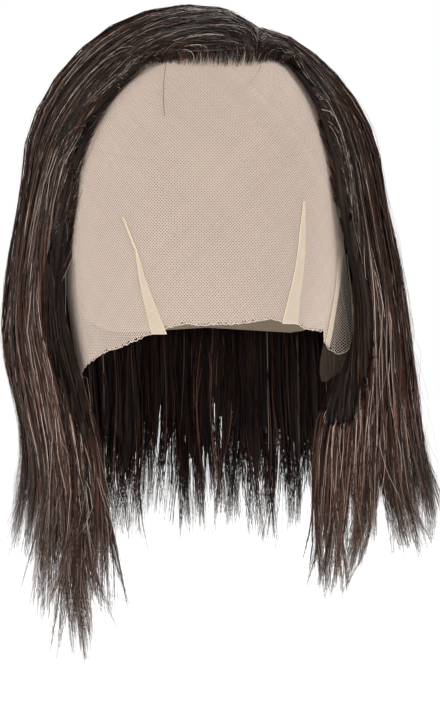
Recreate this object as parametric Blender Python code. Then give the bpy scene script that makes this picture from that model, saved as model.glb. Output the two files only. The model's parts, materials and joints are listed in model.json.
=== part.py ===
# Lace front wig, kept in the form it has when worn. Named sizes are in millimetres.
# Origin: inner top of the cap crown. +X is the wearer's left, -Y the face side, +Z up.
import math

import bpy
import numpy as np

MM = 0.001

# Head form that the cap and the lace lie on
HEAD_HALF_WIDTH = 77.5
HEAD_HALF_DEPTH = 97.0
CROWN_HEIGHT = 92.0
# level, half width, front depth, back depth below the widest level
HEAD_LEVELS = (
    (-92.0, 77.5, 97.0, 97.0),
    (-130.0, 76.6, 96.8, 95.0),
    (-150.0, 75.0, 96.5, 92.0),
    (-168.0, 72.0, 95.5, 87.0),
    (-185.0, 68.5, 93.0, 81.0),
    (-215.0, 64.0, 86.0, 74.0),
    (-260.0, 58.0, 78.0, 66.0),
    (-360.0, 58.0, 78.0, 66.0),
)

# Cloth and hair walls
CAP_WALL = 1.2
LACE_WALL = 1.0
HAIR_CLEARANCE = 2.4
HAIR_LEAST = 2.2
SEAM_GAP = 0.35

# Front edge of the cap: azimuth from the face, level
CAP_EDGE = (
    (0.0, -14.0),
    (25.0, -15.0),
    (45.0, -24.0),
    (60.0, -48.0),
    (75.0, -104.0),
    (85.0, -138.0),
    (100.0, -160.0),
    (130.0, -171.0),
    (180.0, -167.0),
)
# Seam between the crown panel and the nape panel of the cap, and where the nape panel ends
CAP_SEAM = -62.0
NAPE_START = 65.0
CAP_COLUMNS = 40
CROWN_ROWS = 5
NAPE_ROWS = 7

# Lace columns: azimuth at the cut edge, at the dart tips and at the cap, cut edge level,
# lift of the sheet off the head, extra layers there (1 = one folded layer)
LACE_COLUMNS = (
    (-84.0, -84.0, -84.0, -208.0, 3.4, 1.0),
    (-82.0, -82.0, -82.0, -206.0, 3.0, 1.0),
    (-80.6, -81.0, -81.4, -200.0, 2.7, 0.0),
    (-72.0, -75.0, -78.0, -193.0, 1.8, 0.0),
    (-63.0, -68.0, -72.0, -189.0, 1.0, 0.0),
    (-54.0, -60.0, -64.0, -185.5, 0.3, 0.0),
    (-45.0, -50.0, -54.0, -182.0, 0.0, 0.0),
    (-37.0, -41.0, -46.0, -180.5, 0.0, 0.0),
    (-29.0, -34.0, -39.0, -177.0, 0.0, 0.0),
    (-21.0, -31.4, -33.0, -174.0, 0.0, 0.0),
    (-20.3, -30.8, -32.4, -173.0, 0.0, 1.0),
    (-17.4, -29.4, -30.4, -172.0, 0.0, 2.0),
    (-14.4, -28.0, -28.4, -171.0, 0.0, 1.0),
    (-13.7, -27.4, -27.8, -170.0, 0.0, 0.0),
    (-7.0, -19.0, -21.0, -168.6, 0.0, 0.0),
    (0.0, -9.5, -12.0, -169.4, 0.0, 0.0),
    (7.0, 0.0, -3.0, -169.2, 0.0, 0.0),
    (14.0, 10.0, 6.0, -168.8, 0.0, 0.0),
    (21.0, 19.0, 15.0, -168.0, 0.0, 0.0),
    (28.0, 29.0, 24.0, -166.0, 0.0, 0.0),
    (34.0, 38.6, 33.0, -167.0, 0.0, 0.0),
    (34.7, 39.2, 33.6, -167.6, 0.0, 1.0),
    (38.0, 40.4, 36.4, -168.0, 0.0, 2.0),
    (41.2, 41.6, 39.4, -168.0, 0.0, 1.0),
    (41.9, 42.2, 40.0, -168.4, 0.0, 0.0),
    (48.0, 49.0, 47.0, -171.0, 0.0, 0.0),
    (55.0, 56.0, 55.0, -171.0, 0.0, 0.0),
    (62.5, 65.0, 64.0, -171.5, 0.0, 0.0),
    (64.0, 69.0, 70.0, -177.0, 0.4, 0.0),
    (64.8, 69.8, 70.8, -179.0, 0.6, 2.0),
    (68.0, 73.0, 74.0, -180.0, 1.4, 2.0),
    (69.0, 74.0, 75.0, -180.0, 2.2, 0.0),
    (72.5, 77.0, 78.0, -184.0, 6.0, 0.0),
    (75.5, 79.5, 81.0, -182.0, 10.5, 0.0),
    (78.0, 82.0, 84.0, -178.0, 14.0, 0.0),
)
DART_TIP_LEVEL = -116.0
LACE_ROWS_BELOW = 7
LACE_ROWS_ABOVE = 6
FOLD_LAYER = 0.55

# Ear tab of darker net below the standing flap: azimuth, top, cut level, lift off the head
EAR_TAB = (
    (64.0, -177.0, -189.0, 0.4),
    (65.0, -179.0, -194.0, 0.6),
    (68.0, -180.0, -199.0, 1.4),
    (70.5, -181.7, -198.5, 3.5),
    (72.5, -184.0, -196.0, 6.0),
    (75.5, -182.0, -192.0, 10.5),
    (78.0, -178.0, -186.0, 14.0),
)
TAB_ROWS = 4

# Materials: red, green, blue, roughness
MATERIALS = {
    "cap_mesh": (0.52, 0.42, 0.32, 0.9),
    "lace": (0.62, 0.52, 0.42, 0.9),
    "ear_net": (0.22, 0.16, 0.11, 0.9),
    "hair": (0.045, 0.028, 0.02, 0.5),
}

# Part line of the hair
PART_X = 28.0
PART_DIP = 3.2
CROWN_LIFT = 6.0

# Hair guides, in order round the head from the wearer's right temple
# Temple guides run along the hairline: x, y, z from the part to the tip
RIGHT_TEMPLE = (
    (28.0, -71.5, -31.0),
    (14.0, -78.0, -33.0),
    (-4.0, -79.5, -33.4),
    (-22.0, -74.0, -32.0),
    (-38.0, -65.0, -31.5),
    (-48.0, -62.0, -38.0),
    (-55.0, -60.5, -48.0),
    (-63.5, -60.0, -73.0),
    (-69.5, -53.0, -103.0),
    (-74.5, -43.0, -125.0),
    (-77.5, -33.0, -154.0),
    (-72.5, -33.0, -181.0),
    (-65.0, -36.0, -200.0),
    (-57.5, -38.0, -228.0),
    (-53.0, -38.0, -263.0),
    (-51.0, -36.0, -300.0),
    (-53.0, -33.0, -345.0),
)
LEFT_TEMPLE = (
    (28.0, -71.5, -31.0),
    (38.0, -62.0, -28.5),
    (48.0, -51.0, -29.0),
    (57.0, -51.0, -44.0),
    (61.5, -54.0, -56.0),
    (69.0, -51.0, -81.5),
    (73.0, -45.0, -102.0),
    (78.0, -32.0, -119.0),
    (86.0, -18.0, -146.0),
    (84.0, -14.0, -176.0),
    (70.0, -20.0, -200.0),
    (60.5, -30.0, -228.0),
    (57.5, -34.0, -263.0),
    (57.0, -34.0, -300.0),
    (56.0, -32.0, -345.0),
)
# Other guides: start x and y on the crown, azimuth and lift at the widest level,
# then x, y, z below it
SWEPT_GUIDES = {
    "right_fore": (
        (28.0, -46.0, -61.0, 13.0),
        ((-88.0, -47.0, -130.0), (-91.0, -44.0, -165.0), (-84.0, -44.0, -205.0),
         (-76.0, -44.0, -250.0), (-74.0, -42.0, -300.0), (-68.0, -38.0, -356.0)),
    ),
    "right_side": (
        (28.0, -18.0, -92.0, 20.0),
        ((-104.0, 2.0, -131.0), (-109.0, 2.0, -165.0), (-108.0, 2.0, -187.0),
         (-101.0, 2.0, -212.0), (-95.0, 0.0, -242.0), (-96.0, -2.0, -288.0),
         (-91.0, -4.0, -335.0)),
    ),
    "right_rear": (
        (28.0, 3.0, -132.0, 16.0),
        ((-79.0, 74.0, -130.0), (-80.0, 71.0, -165.0), (-77.0, 64.0, -210.0),
         (-74.0, 56.0, -265.0), (-68.0, 50.0, -335.0)),
    ),
    "back": (
        (28.0, 14.0, -180.0, 14.0),
        ((0.0, 111.0, -130.0), (0.0, 107.0, -165.0), (0.0, 100.0, -210.0),
         (0.0, 93.0, -265.0), (0.0, 88.0, -335.0)),
    ),
    "left_rear": (
        (28.0, 3.0, -228.0, 16.0),
        ((80.0, 74.0, -130.0), (84.0, 71.0, -165.0), (86.0, 64.0, -210.0),
         (88.0, 56.0, -265.0), (86.0, 48.0, -325.0)),
    ),
    "left_side": (
        (28.0, -18.0, -268.0, 19.0),
        ((103.5, 2.0, -125.0), (109.0, 2.0, -156.0), (113.5, 2.0, -188.0),
         (116.0, 0.0, -212.0), (119.0, -2.0, -245.0), (121.0, -4.0, -268.0),
         (119.0, -6.0, -310.0)),
    ),
    "left_fore": (
        (28.0, -46.0, -300.0, 12.5),
        ((85.0, -48.0, -125.0), (92.0, -40.0, -156.0), (93.0, -36.0, -190.0),
         (92.0, -36.0, -230.0), (90.0, -36.0, -275.0), (80.0, -32.0, -335.0)),
    ),
}
GUIDE_ROWS = 61

# Locks: width in guide steps, slit start, tip (both as shares of the length),
# outward and forward sway of the tip, ridge height
RIGHT_LOCKS = (
    (0.18, 0.78, 0.94, 0.0, 0.0, 1.6),
    (0.22, 0.76, 0.93, -3.0, 3.0, 2.6),
    (0.26, 0.74, 0.95, 3.0, 4.0, 2.2),
    (0.24, 0.78, 0.98, -2.0, 0.0, 2.8),
    (0.26, 0.72, 0.90, 5.0, 5.0, 2.4),
    (0.24, 0.76, 0.94, 8.0, 2.0, 2.8),
    (0.26, 0.78, 0.89, 6.0, 0.0, 2.2),
    (0.26, 0.70, 0.92, 3.0, -2.0, 3.0),
    (0.24, 0.72, 0.88, 14.0, 0.0, 2.4),
    (0.26, 0.74, 0.91, 5.0, 2.0, 2.8),
    (0.28, 0.72, 0.87, 12.0, -3.0, 2.6),
    (0.30, 0.78, 0.91, 2.0, 2.0, 2.6),
)
BACK_LOCKS = (
    (0.24, 0.76, 0.90, 2.0, 0.0, 2.4),
    (0.26, 0.78, 0.93, 0.0, 0.0, 2.8),
    (0.24, 0.74, 0.89, 4.0, 2.0, 2.4),
    (0.26, 0.78, 0.92, -2.0, 0.0, 3.0),
    (0.26, 0.76, 0.90, 3.0, -2.0, 2.6),
    (0.24, 0.79, 0.93, 0.0, 0.0, 2.8),
    (0.26, 0.75, 0.91, 3.0, 2.0, 2.4),
    (0.24, 0.78, 0.92, -1.0, 0.0, 2.6),
)
LEFT_LOCKS = (
    (0.22, 0.78, 0.92, 2.0, 0.0, 2.4),
    (0.26, 0.76, 0.88, 8.0, 2.0, 2.8),
    (0.24, 0.78, 0.92, 2.0, 0.0, 2.4),
    (0.26, 0.74, 0.90, 12.0, -2.0, 2.8),
    (0.24, 0.76, 0.94, 6.0, 0.0, 2.6),
    (0.26, 0.72, 0.87, 12.0, -3.0, 3.0),
    (0.24, 0.76, 0.92, 14.0, 2.0, 2.4),
    (0.26, 0.72, 0.87, 24.0, 0.0, 2.8),
    (0.24, 0.78, 0.92, -4.0, 2.0, 2.4),
    (0.26, 0.76, 0.88, 4.0, 3.0, 2.6),
    (0.26, 0.78, 0.93, -2.0, 0.0, 2.4),
    (0.26, 0.80, 0.91, 0.0, 0.0, 1.6),
)
HAIR_NODES = {
    "hair_right": (0.0, 3.0, RIGHT_LOCKS),
    "hair_back": (3.0, 5.0, BACK_LOCKS),
    "hair_left": (5.0, 8.0, LEFT_LOCKS),
}
ROWS_JOINED = 14
ROWS_FREE = 6
TIP_HALF_WIDTH = 0.9
TIP_THICKNESS = 1.8
WALL_FULL = 12.0
WALL_LOW = 7.0


def clear_scene():
    for item in list(bpy.data.objects):
        bpy.data.objects.remove(item, do_unlink=True)


def head_sizes(z):
    levels = np.array(HEAD_LEVELS)
    order = np.argsort(levels[:, 0])
    wide = np.interp(z, levels[order, 0], levels[order, 1])
    front = np.interp(z, levels[order, 0], levels[order, 2])
    back = np.interp(z, levels[order, 0], levels[order, 3])
    return wide, front, back


def head_point(azimuth, z, lift):
    """Point on the head form at an azimuth from the face, lifted off along the normal."""
    turn = math.radians(azimuth)
    wide, front, back = head_sizes(min(z, -CROWN_HEIGHT))
    rise = max(0.0, z + CROWN_HEIGHT)
    ring = math.sqrt(max(0.0, 1.0 - (rise / CROWN_HEIGHT) ** 2))
    depth = front if math.cos(turn) >= 0 else back
    x = wide * ring * math.sin(turn)
    y = -depth * ring * math.cos(turn)
    normal = np.array([x / wide**2, y / depth**2, rise / CROWN_HEIGHT**2])
    normal /= np.linalg.norm(normal)
    return np.array([x, y, z]) + normal * lift


def measure_of(z):
    """Angle down from the crown, carried on as a length below the widest level."""
    if z > -CROWN_HEIGHT:
        return math.acos((z + CROWN_HEIGHT) / CROWN_HEIGHT)
    return math.pi / 2 + (-CROWN_HEIGHT - z) / CROWN_HEIGHT


def level_of(measure):
    if measure < math.pi / 2:
        return -CROWN_HEIGHT + CROWN_HEIGHT * math.cos(measure)
    return -CROWN_HEIGHT - (measure - math.pi / 2) * CROWN_HEIGHT


def outside_head(point, clearance):
    """Pushes a point out of the head form until it has the clearance."""
    x, y, z = point
    wide, front, back = head_sizes(min(z, -CROWN_HEIGHT))
    depth = (front if y < 0 else back) + clearance
    wide = wide + clearance
    high = CROWN_HEIGHT + clearance
    rise = max(0.0, z + CROWN_HEIGHT)
    reach = math.sqrt((x / wide) ** 2 + (y / depth) ** 2 + (rise / high) ** 2)
    if reach >= 1.0 or reach < 1e-6:
        return np.array(point)
    if rise > 0:
        return np.array([x / reach, y / reach, rise / reach - CROWN_HEIGHT])
    return np.array([x / reach, y / reach, z])


def spline(points, shares):
    """Points on a Catmull-Rom curve through a table, at shares of its knots."""
    points = np.asarray(points, dtype=float)
    last = len(points) - 1
    ends = np.vstack([2 * points[0] - points[1], points, 2 * points[-1] - points[-2]])
    knot = np.clip(shares, 0, 1) * last
    cell = np.minimum(knot.astype(int), last - 1)
    t = (knot - cell)[:, None]
    a, b, c, d = ends[cell], ends[cell + 1], ends[cell + 2], ends[cell + 3]
    return 0.5 * (
        2 * b + (c - a) * t + (2 * a - 5 * b + 4 * c - d) * t**2
        + (3 * b - a - 3 * c + d) * t**3
    )


def even_rows(points, rows):
    """The same curve with its rows at equal steps of length."""
    fine = spline(points, np.linspace(0, 1, 400))
    steps = np.linalg.norm(np.diff(fine, axis=0), axis=1)
    run = np.concatenate([[0], np.cumsum(steps)])
    wanted = np.linspace(0, run[-1], rows)
    return np.stack([np.interp(wanted, run, fine[:, i]) for i in range(3)], axis=1)


def swept_guide(start, below):
    """From the part over the crown on a great circle, then down the table."""
    root_x, root_y, azimuth, lift = start
    turn = math.radians(azimuth)
    first = np.array([root_x / HEAD_HALF_WIDTH, root_y / HEAD_HALF_DEPTH, 0.0])
    first[2] = math.sqrt(1.0 - first[0] ** 2 - first[1] ** 2)
    last = np.array([math.sin(turn), -math.cos(turn), 0.0])
    swing = math.acos(float(first @ last))
    points = []
    for t in np.linspace(0, 1, 9):
        unit = (math.sin((1 - t) * swing) * first + math.sin(t * swing) * last) / math.sin(swing)
        up = CROWN_LIFT - PART_DIP * max(0.0, 1 - t * swing / 0.16)
        up += (lift - CROWN_LIFT) * t * t * (3 - 2 * t)
        size = np.array([HEAD_HALF_WIDTH, HEAD_HALF_DEPTH, CROWN_HEIGHT]) + up
        points.append(unit * size - np.array([0, 0, CROWN_HEIGHT]))
    points.extend(np.array(row) for row in below)
    return np.array(points)


def hair_surface():
    """Guides in order round the head, each with evenly spaced rows."""
    names = list(SWEPT_GUIDES)
    guides = [even_rows(RIGHT_TEMPLE, GUIDE_ROWS)]
    guides += [even_rows(swept_guide(*SWEPT_GUIDES[name]), GUIDE_ROWS) for name in names]
    guides.append(even_rows(LEFT_TEMPLE, GUIDE_ROWS))
    return np.array(guides)


def on_surface(guides, u, v):
    """Point of the hair surface at guide position u and length share v."""
    row = np.clip(v, 0, 1) * (GUIDE_ROWS - 1)
    low = int(min(row, GUIDE_ROWS - 2))
    line = guides[:, low] * (1 - (row - low)) + guides[:, low + 1] * (row - low)
    return spline(line, np.array([u / (len(guides) - 1)]))[0]


def surface_normal(guides, u, v):
    step = 0.04
    across = on_surface(guides, min(u + step, 8.0), v) - on_surface(guides, max(u - step, 0.0), v)
    along = on_surface(guides, u, min(v + 0.03, 1)) - on_surface(guides, u, max(v - 0.03, 0))
    normal = np.cross(along, across)
    normal /= max(np.linalg.norm(normal), 1e-9)
    here = on_surface(guides, u, v)
    outward = here - np.array([0.0, 0.0, min(here[2], -60.0)])
    return normal if normal @ outward > 0 else -normal


def make_material(name):
    red, green, blue, roughness = MATERIALS[name]
    material = bpy.data.materials.new(name)
    material.use_nodes = True
    shader = material.node_tree.nodes["Principled BSDF"]
    shader.inputs["Base Color"].default_value = (red, green, blue, 1.0)
    shader.inputs["Roughness"].default_value = roughness
    return material


def add_mesh(name, material, points, faces):
    mesh = bpy.data.meshes.new(name)
    mesh.from_pydata([tuple(float(c) * MM for c in p) for p in points], [], faces)
    mesh.update()
    mesh.materials.append(bpy.data.materials.get(material) or make_material(material))
    item = bpy.data.objects.new(name, mesh)
    bpy.context.scene.collection.objects.link(item)


class Body:
    """Vertices and triangles of one closed body."""

    def __init__(self):
        self.points = []
        self.faces = []

    def vertex(self, point):
        self.points.append(point)
        return len(self.points) - 1

    def quad(self, a, b, c, d):
        self.faces.append((a, b, c))
        self.faces.append((a, c, d))

    def grid(self, rows, flip):
        for upper, lower in zip(rows, rows[1:]):
            for i in range(len(upper) - 1):
                corners = (upper[i], lower[i], lower[i + 1], upper[i + 1])
                self.quad(*(corners[::-1] if flip else corners))

    def wall(self, outer, inner, flip):
        for i in range(len(outer) - 1):
            corners = (outer[i], outer[i + 1], inner[i + 1], inner[i])
            self.quad(*(corners[::-1] if flip else corners))


def sheet_body(name, material, outer, inner):
    """Closed wall between two grids of rows from the lower edge up, columns to +X."""
    body = Body()
    out = [[body.vertex(p) for p in row] for row in outer]
    into = [[body.vertex(p) for p in row] for row in inner]
    body.grid(out, True)
    body.grid(into, False)
    body.wall(out[0], into[0], True)
    body.wall(out[-1], into[-1], False)
    body.wall([row[0] for row in out], [row[0] for row in into], False)
    body.wall([row[-1] for row in out], [row[-1] for row in into], True)
    add_mesh(name, material, body.points, body.faces)


def cap_edge_level(azimuth):
    table = np.array(CAP_EDGE)
    folded = abs((azimuth + 180.0) % 360.0 - 180.0)
    return float(np.interp(folded, table[:, 0], table[:, 1]))


def build_cap_crown():
    """Top panel of the cap, a dome down to the seam or to the front edge."""
    body = Body()
    shells = []
    for lift in (CAP_WALL, 0.0):
        pole = body.vertex(head_point(0.0, 0.0, lift) * np.array([0, 0, 1]))
        rings = []
        for row in range(1, CROWN_ROWS + 1):
            ring = []
            for column in range(CAP_COLUMNS):
                azimuth = 360.0 * column / CAP_COLUMNS - 180.0
                lowest = max(cap_edge_level(azimuth), CAP_SEAM)
                reach = measure_of(lowest) * row / CROWN_ROWS
                ring.append(body.vertex(head_point(azimuth, level_of(reach), lift)))
            rings.append(ring + ring[:1])
        shells.append((pole, rings))
    for (pole, rings), flip in zip(shells, (False, True)):
        for i in range(CAP_COLUMNS):
            corner = (pole, rings[0][i], rings[0][i + 1])
            body.faces.append(corner[::-1] if flip else corner)
        body.grid(rings, flip)
    body.wall(shells[0][1][-1], shells[1][1][-1], True)
    add_mesh("cap_crown", "cap_mesh", body.points, body.faces)


def build_cap_nape():
    """Panel round the back from ear to ear, from the seam down to the lower edge."""
    step = 360.0 / CAP_COLUMNS
    turns = np.arange(math.ceil(NAPE_START / step) * step, 360.0 - NAPE_START, step)
    turns = [NAPE_START, *turns, 360.0 - NAPE_START]
    top = measure_of(CAP_SEAM - SEAM_GAP)
    outer, inner = [], []
    for row in range(NAPE_ROWS + 1):
        t = row / NAPE_ROWS
        lows = [measure_of(cap_edge_level(azimuth)) for azimuth in turns]
        places = [(azimuth, level_of(low + (top - low) * t)) for azimuth, low in zip(turns, lows)]
        outer.append([head_point(azimuth, z, CAP_WALL) for azimuth, z in places])
        inner.append([head_point(azimuth, z, 0.0) for azimuth, z in places])
    sheet_body("cap_nape", "cap_mesh", outer, inner)


def lace_point(column, row, side):
    bottom, middle, top, cut, lift, layers = column
    count = LACE_ROWS_BELOW + LACE_ROWS_ABOVE
    upper = cap_edge_level(top) - SEAM_GAP * 2
    knee = min(DART_TIP_LEVEL, upper - 6.0) if upper < DART_TIP_LEVEL + 6 else DART_TIP_LEVEL
    if row <= LACE_ROWS_BELOW:
        t = row / LACE_ROWS_BELOW
        azimuth = bottom + (middle - bottom) * t
        reach = measure_of(cut) + (measure_of(knee) - measure_of(cut)) * t
        fold = layers
        loose = lift * (1 - t) ** 1.3 if abs(bottom) > 60 else lift
    else:
        t = (row - LACE_ROWS_BELOW) / (count - LACE_ROWS_BELOW)
        azimuth = middle + (top - middle) * t
        reach = measure_of(knee) + (measure_of(upper) - measure_of(knee)) * t
        fold = 0.0
        loose = 0.0
    thick = LACE_WALL + FOLD_LAYER * fold
    return head_point(azimuth, level_of(reach), loose + (thick if side else 0.0))


def build_lace():
    rows = range(LACE_ROWS_BELOW + LACE_ROWS_ABOVE + 1)
    outer = [[lace_point(column, row, True) for column in LACE_COLUMNS] for row in rows]
    inner = [[lace_point(column, row, False) for column in LACE_COLUMNS] for row in rows]
    sheet_body("lace_front", "lace", outer, inner)


def build_ear_tab():
    outer, inner = [], []
    for row in range(TAB_ROWS + 1):
        t = row / TAB_ROWS
        levels = [cut + (top - SEAM_GAP - cut) * t for _, top, cut, _ in EAR_TAB]
        places = [(tab[0], z, tab[3]) for tab, z in zip(EAR_TAB, levels)]
        outer.append([head_point(a, z, lift + LACE_WALL) for a, z, lift in places])
        inner.append([head_point(a, z, lift) for a, z, lift in places])
    sheet_body("ear_tab_left", "ear_net", outer, inner)


def lock_edges(first, last, locks):
    widths = np.array([lock[0] for lock in locks])
    bounds = np.concatenate([[0], np.cumsum(widths)]) / widths.sum()
    return first + (last - first) * bounds


def slit_shares(locks):
    """Slit start at each bound between locks, and at the node's two sides."""
    own = [lock[1] for lock in locks]
    inside = [max(a, b) if i % 2 else min(a, b) for i, (a, b) in enumerate(zip(own, own[1:]))]
    return [own[0]] + inside + [own[-1]]


def wall_thickness(u, v):
    edge = min(u, 8.0 - u)
    full = WALL_FULL + (WALL_LOW - WALL_FULL) * max(0.0, (v - 0.45) / 0.55)
    return HAIR_LEAST + (full - HAIR_LEAST) * min(1.0, edge / 0.5 + 0.08)


def hair_pair(guides, u, v, ridge, thin):
    """Outer and inner point of the hair wall."""
    base = on_surface(guides, u, v)
    normal = surface_normal(guides, u, v)
    outer = outside_head(base + normal * ridge, HAIR_CLEARANCE + HAIR_LEAST)
    thick = wall_thickness(u, v) * (1 - thin) + TIP_THICKNESS * thin
    inner = outside_head(outer - normal * thick, HAIR_CLEARANCE)
    return outer, inner


def under_part(point):
    """Point straight below one on the part line, clear of the cap."""
    across = point[0] / (HEAD_HALF_WIDTH + HAIR_CLEARANCE)
    along = point[1] / (HEAD_HALF_DEPTH + HAIR_CLEARANCE)
    high = (CROWN_HEIGHT + HAIR_CLEARANCE) * math.sqrt(1 - across**2 - along**2)
    return np.array([point[0], point[1], high - CROWN_HEIGHT])


def build_hair(name, guides, first, last, locks):
    body = Body()
    edges = lock_edges(first, last, locks)
    slits = slit_shares(locks)
    inset = 0.014
    edges[0] += inset if first > 0 else 0.0
    edges[-1] -= inset if last < 8.0 else 0.0
    columns = []
    for i, lock in enumerate(locks):
        columns.append((edges[i], slits[i], 0.0))
        columns.append(((edges[i] + edges[i + 1]) / 2, (slits[i] + slits[i + 1]) / 2, lock[5]))
    columns.append((edges[-1], slits[-1], 0.0))
    outs, ins = [], []
    for row in range(ROWS_JOINED + 1):
        t = row / ROWS_JOINED
        out_row, in_row = [], []
        for u, slit, ridge in columns:
            rise = ridge * (0.25 + 0.75 * min(1.0, t * 2.2)) if row else 0.0
            outer, inner = hair_pair(guides, u, slit * t, rise, 0.0)
            if row == 0:
                shift = np.array([SEAM_GAP * np.sign(u - 4.0), 0, 0])
                outer = outer + shift
                inner = under_part(outer)
            out_row.append(body.vertex(outer))
            in_row.append(body.vertex(inner))
        outs.append(out_row)
        ins.append(in_row)
    body.grid(outs, False)
    body.grid(ins, True)
    body.wall(outs[0], ins[0], False)
    body.wall([row[0] for row in outs], [row[0] for row in ins], True)
    body.wall([row[-1] for row in outs], [row[-1] for row in ins], False)
    for i, lock in enumerate(locks):
        build_tip(body, guides, lock, columns[2 * i:2 * i + 3],
                  outs[-1][2 * i:2 * i + 3], ins[-1][2 * i:2 * i + 3])
    add_mesh(name, "hair", body.points, [face[::-1] for face in body.faces])


def build_tip(body, guides, lock, trio, out_row, in_row):
    """Free end of one lock, narrowing to its tip."""
    width, slit, tip, sway_out, sway_fore, ridge = lock
    middle = trio[1][0]
    outs, ins = [out_row], [in_row]
    for row in range(1, ROWS_FREE + 1):
        t = row / ROWS_FREE
        narrow = 1 - 0.94 * t**1.4
        centre = on_surface(guides, middle, trio[1][1] + (tip - trio[1][1]) * t)
        out_dir = centre * np.array([1, 1, 0])
        out_dir /= np.linalg.norm(out_dir)
        sway = out_dir * sway_out * t * t + np.array([0, -sway_fore * t * t, 0])
        new_out, new_in = [], []
        for place, (u, start, _) in enumerate(trio):
            v = start + (tip - start) * t
            here = middle + (u - middle) * narrow
            lift = ridge * (1 - 0.6 * t) if place == 1 else 0.0
            outer, inner = hair_pair(guides, here, v, lift, t)
            new_out.append(body.vertex(outer + sway))
            new_in.append(body.vertex(inner + sway))
        outs.append(new_out)
        ins.append(new_in)
    body.grid(outs, False)
    body.grid(ins, True)
    body.wall([row[0] for row in outs], [row[0] for row in ins], True)
    body.wall([row[-1] for row in outs], [row[-1] for row in ins], False)
    body.wall(outs[-1], ins[-1], True)


def main():
    clear_scene()
    build_cap_crown()
    build_cap_nape()
    build_lace()
    build_ear_tab()
    guides = hair_surface()
    for name, (first, last, locks) in HAIR_NODES.items():
        build_hair(name, guides, first, last, locks)


main()
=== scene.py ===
# Looks of the lace front wig: hair, net lace, cap cloth, light and camera.
# Named sizes are in millimetres, in the frame's own axes. The lights and the floor are in metres.
import json
import math

import bpy
import numpy as np
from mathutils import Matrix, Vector

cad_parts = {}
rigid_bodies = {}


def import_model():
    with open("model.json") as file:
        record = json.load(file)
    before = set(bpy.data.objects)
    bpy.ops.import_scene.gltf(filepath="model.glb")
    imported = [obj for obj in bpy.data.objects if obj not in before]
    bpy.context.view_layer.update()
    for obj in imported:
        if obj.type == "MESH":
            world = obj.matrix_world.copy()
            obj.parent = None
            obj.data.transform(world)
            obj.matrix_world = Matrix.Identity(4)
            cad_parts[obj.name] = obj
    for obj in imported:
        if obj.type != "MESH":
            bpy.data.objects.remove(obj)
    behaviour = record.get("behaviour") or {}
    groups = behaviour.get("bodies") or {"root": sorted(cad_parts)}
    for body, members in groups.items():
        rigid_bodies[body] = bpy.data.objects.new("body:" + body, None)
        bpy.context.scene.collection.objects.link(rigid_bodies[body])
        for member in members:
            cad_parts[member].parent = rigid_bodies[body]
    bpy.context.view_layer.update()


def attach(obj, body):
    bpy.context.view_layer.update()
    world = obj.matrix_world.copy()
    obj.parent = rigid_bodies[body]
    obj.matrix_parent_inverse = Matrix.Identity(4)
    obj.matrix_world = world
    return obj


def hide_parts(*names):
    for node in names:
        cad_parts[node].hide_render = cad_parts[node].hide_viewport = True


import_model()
MM = 0.001
RANDOM = np.random.default_rng(7)

# Head form under the cap and the lace
HEAD_HALF_WIDTH = 77.5
HEAD_HALF_DEPTH = 97.0
CROWN_HEIGHT = 92.0
# level, half width, front depth, back depth
HEAD_LEVELS = np.array((
    (-360.0, 58.0, 78.0, 66.0),
    (-260.0, 58.0, 78.0, 66.0),
    (-215.0, 64.0, 86.0, 74.0),
    (-185.0, 68.5, 93.0, 81.0),
    (-168.0, 72.0, 95.5, 87.0),
    (-150.0, 75.0, 96.5, 92.0),
    (-130.0, 76.6, 96.8, 95.0),
    (-92.0, 77.5, 97.0, 97.0),
))

# Edge of the cap: azimuth from the face, level
CAP_EDGE = np.array((
    (0.0, -14.0),
    (25.0, -15.0),
    (45.0, -24.0),
    (60.0, -48.0),
    (75.0, -104.0),
    (85.0, -138.0),
    (100.0, -160.0),
    (130.0, -171.0),
    (180.0, -167.0),
))

# Lace outline: azimuth at the cut edge, azimuth at the dart tips, cut level, lift off the head
LACE_OUTLINE = np.array((
    (-84.0, -84.0, -208.0, 3.4),
    (-80.6, -81.0, -200.0, 2.7),
    (-72.0, -75.0, -193.0, 1.8),
    (-63.0, -68.0, -189.0, 1.0),
    (-54.0, -60.0, -185.5, 0.3),
    (-45.0, -50.0, -182.0, 0.0),
    (-37.0, -41.0, -180.5, 0.0),
    (-29.0, -34.0, -177.0, 0.0),
    (-20.3, -30.8, -173.0, 0.0),
    (-14.4, -28.0, -171.0, 0.0),
    (-7.0, -19.0, -168.6, 0.0),
    (0.0, -9.5, -169.4, 0.0),
    (14.0, 10.0, -168.8, 0.0),
    (28.0, 29.0, -166.0, 0.0),
    (34.7, 39.2, -167.6, 0.0),
    (41.2, 41.6, -168.2, 0.0),
    (48.0, 49.0, -171.0, 0.0),
    (62.5, 65.0, -171.5, 0.0),
    (64.0, 69.0, -177.0, 0.4),
    (68.0, 73.0, -180.0, 1.4),
    (72.5, 77.0, -184.0, 6.0),
    (75.5, 79.5, -182.0, 10.5),
    (78.0, 82.0, -178.0, 14.0),
))
DART_TIP_LEVEL = -116.0

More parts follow.
